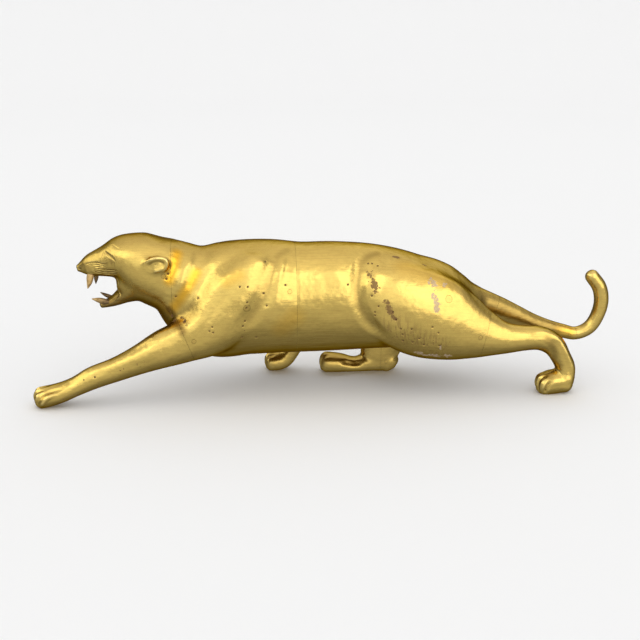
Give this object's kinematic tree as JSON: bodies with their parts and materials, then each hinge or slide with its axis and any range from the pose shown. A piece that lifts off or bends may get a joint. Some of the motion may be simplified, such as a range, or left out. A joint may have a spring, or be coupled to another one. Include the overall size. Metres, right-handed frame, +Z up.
{
  "type": "hood ornament",
  "caption": "Prowling big cat in polished cast brass with open jaws, a foreleg stretched forward and a curled tail; hollow castings pinned together, standing on flat soles",
  "frame": {"origin": "on the floor, under the middle of the figure's bounding box", "axes": "+X towards the tail, +Y towards the cat's right side, +Z up; the cat faces -X"},
  "size_m": [0.2868, 0.0586, 0.0798],
  "materials": {
    "cast_brass": "polished by hand, with gas pits, fine brush marks, brown stains and darker hollows",
    "pin_brass": "dressed flush, a little redder and duller than the castings",
    "tooth_bronze": "unpolished, matt pinkish tan"
  },
  "bodies": {
    "root": {"head_casting": "cast_brass", "front_body_casting": "cast_brass", "rear_body_casting": "cast_brass", "left_front_leg": "cast_brass", "right_front_leg": "cast_brass", "left_hind_leg": "cast_brass", "right_hind_leg": "cast_brass", "right_hind_foot": "cast_brass", "tail_root": "cast_brass", "tail_tip": "cast_brass", "neck_pin_left": "pin_brass", "neck_pin_right": "pin_brass", "waist_pin_left": "pin_brass", "waist_pin_right": "pin_brass", "left_front_leg_pin": "pin_brass", "right_front_leg_pin": "pin_brass", "left_hind_leg_pin": "pin_brass", "right_hind_leg_pin": "pin_brass", "right_hind_foot_pin": "pin_brass", "tail_root_pin": "pin_brass", "tail_pin": "pin_brass", "front_core_plug_left": "pin_brass", "front_core_plug_right": "pin_brass", "rear_core_plug_left": "pin_brass", "rear_core_plug_right": "pin_brass", "upper_left_canine": "tooth_bronze", "upper_right_canine": "tooth_bronze", "lower_left_canine": "tooth_bronze", "lower_right_canine": "tooth_bronze"}
  },
  "joints": []
}
